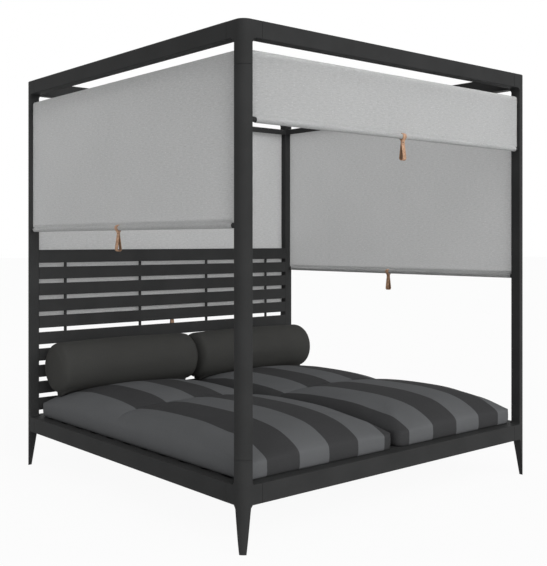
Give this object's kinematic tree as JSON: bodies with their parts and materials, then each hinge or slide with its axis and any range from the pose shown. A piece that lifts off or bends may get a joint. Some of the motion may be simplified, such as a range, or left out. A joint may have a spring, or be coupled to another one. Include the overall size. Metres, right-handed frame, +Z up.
{
  "type": "outdoor daybed with canopy frame",
  "caption": "Square four-post aluminium daybed, open at the top, with a slatted headboard, a roller blind on each side, striped mattresses and bolsters.",
  "frame": {"origin": "on the floor under the middle of the bed", "axes": "+Z up, -Y towards the foot end, +Y towards the headboard, +X to the right of someone at the foot end who faces the headboard"},
  "size_m": [2, 2, 2.2],
  "materials": {
    "frame_paint": "matte",
    "bare_metal": "satin",
    "blind_cloth": "matte",
    "stripe_cloth": "matte",
    "bolster_cloth": "matte",
    "leather": "satin"
  },
  "bodies": {
    "frame": {"base_corner_front_left": "frame_paint", "post_front_left": "frame_paint", "top_corner_front_left": "frame_paint", "base_corner_front_right": "frame_paint", "post_front_right": "frame_paint", "top_corner_front_right": "frame_paint", "base_corner_rear_right": "frame_paint", "post_rear_right": "frame_paint", "top_corner_rear_right": "frame_paint", "base_corner_rear_left": "frame_paint", "post_rear_left": "frame_paint", "top_corner_rear_left": "frame_paint", "base_rail_front": "frame_paint", "top_beam_front": "frame_paint", "head_rail_front": "frame_paint", "base_rail_right": "frame_paint", "top_beam_right": "frame_paint", "head_rail_right": "frame_paint", "base_rail_rear": "frame_paint", "top_beam_rear": "frame_paint", "head_rail_rear": "frame_paint", "base_rail_left": "frame_paint", "top_beam_left": "frame_paint", "head_rail_left": "frame_paint", "headboard_slat_1": "frame_paint", "headboard_slat_2": "frame_paint", "headboard_slat_3": "frame_paint", "headboard_slat_4": "frame_paint", "headboard_slat_5": "frame_paint", "headboard_slat_6": "frame_paint", "headboard_slat_7": "frame_paint", "headboard_slat_8": "frame_paint", "headboard_slat_9": "frame_paint", "headboard_top": "frame_paint", "headboard_upright_1": "frame_paint", "headboard_upright_2": "frame_paint", "headboard_upright_3": "frame_paint", "headboard_upright_4": "frame_paint", "deck": "frame_paint", "centre_joist": "frame_paint", "mattress_left": "stripe_cloth", "mattress_right": "stripe_cloth", "bolster_left": "bolster_cloth", "bolster_right": "bolster_cloth"},
    "roller_front": {"roller_front": "bare_metal"},
    "blind_front": {"blind_cloth_front": "blind_cloth", "hem_bar_front": "frame_paint"},
    "pull_front": {"pull_front": "leather"},
    "roller_right": {"roller_right": "bare_metal"},
    "blind_right": {"blind_cloth_right": "blind_cloth", "hem_bar_right": "frame_paint"},
    "pull_right": {"pull_right": "leather"},
    "roller_rear": {"roller_rear": "bare_metal"},
    "blind_rear": {"blind_cloth_rear": "blind_cloth", "hem_bar_rear": "frame_paint"},
    "pull_rear": {"pull_rear": "leather"},
    "roller_left": {"roller_left": "bare_metal"},
    "blind_left": {"blind_cloth_left": "blind_cloth", "hem_bar_left": "frame_paint"},
    "pull_left": {"pull_left": "leather"}
  },
  "joints": [
    {"name": "blind_lift_front", "type": "slide", "parent": "frame", "child": "blind_front", "axis": [0, 0, 1], "range_m": [-1.3785, 0.1515], "deforming": ["blind_cloth_front"]},
    {"name": "roller_turn_front", "type": "hinge", "parent": "frame", "child": "roller_front", "pos_m": [0, -0.968, 2.0645], "axis": [-1, 0, 0], "range_deg": [-5393, 610]},
    {"name": "pull_swing_front", "type": "hinge", "parent": "blind_front", "child": "pull_front", "pos_m": [0, -0.9827, 1.7885], "axis": [1, 0, 0], "range_deg": [-80, 6]},
    {"name": "blind_lift_right", "type": "slide", "parent": "frame", "child": "blind_right", "axis": [0, 0, 1], "range_m": [-0.6825, 0.8475], "deforming": ["blind_cloth_right"]},
    {"name": "roller_turn_right", "type": "hinge", "parent": "frame", "child": "roller_right", "pos_m": [0.968, 0, 2.0645], "axis": [0, -1, 0], "range_deg": [-2680, 3323]},
    {"name": "pull_swing_right", "type": "hinge", "parent": "blind_right", "child": "pull_right", "pos_m": [0.9827, 0, 1.0925], "axis": [0, 1, 0], "range_deg": [-80, 6]},
    {"name": "blind_lift_rear", "type": "slide", "parent": "frame", "child": "blind_rear", "axis": [0, 0, 1], "range_m": [-0.415, 1.115], "deforming": ["blind_cloth_rear"]},
    {"name": "roller_turn_rear", "type": "hinge", "parent": "frame", "child": "roller_rear", "pos_m": [0, 0.968, 2.0645], "axis": [1, 0, 0], "range_deg": [-1638, 4366]},
    {"name": "pull_swing_rear", "type": "hinge", "parent": "blind_rear", "child": "pull_rear", "pos_m": [0, 0.9827, 0.825], "axis": [-1, 0, 0], "range_deg": [-80, 6]},
    {"name": "blind_lift_left", "type": "slide", "parent": "frame", "child": "blind_left", "axis": [0, 0, 1], "range_m": [-0.9405, 0.5895], "deforming": ["blind_cloth_left"]},
    {"name": "roller_turn_left", "type": "hinge", "parent": "frame", "child": "roller_left", "pos_m": [-0.968, 0, 2.0645], "axis": [0, 1, 0], "range_deg": [-3686, 2318]},
    {"name": "pull_swing_left", "type": "hinge", "parent": "blind_left", "child": "pull_left", "pos_m": [-0.9827, 0, 1.3505], "axis": [0, -1, 0], "range_deg": [-80, 6]}
  ],
  "couplings": [
    {"joint": "roller_turn_front", "follows": "blind_lift_front", "rad_per_m": 68.027},
    {"joint": "roller_turn_right", "follows": "blind_lift_right", "rad_per_m": 68.027},
    {"joint": "roller_turn_rear", "follows": "blind_lift_rear", "rad_per_m": 68.027},
    {"joint": "roller_turn_left", "follows": "blind_lift_left", "rad_per_m": 68.027}
  ]
}
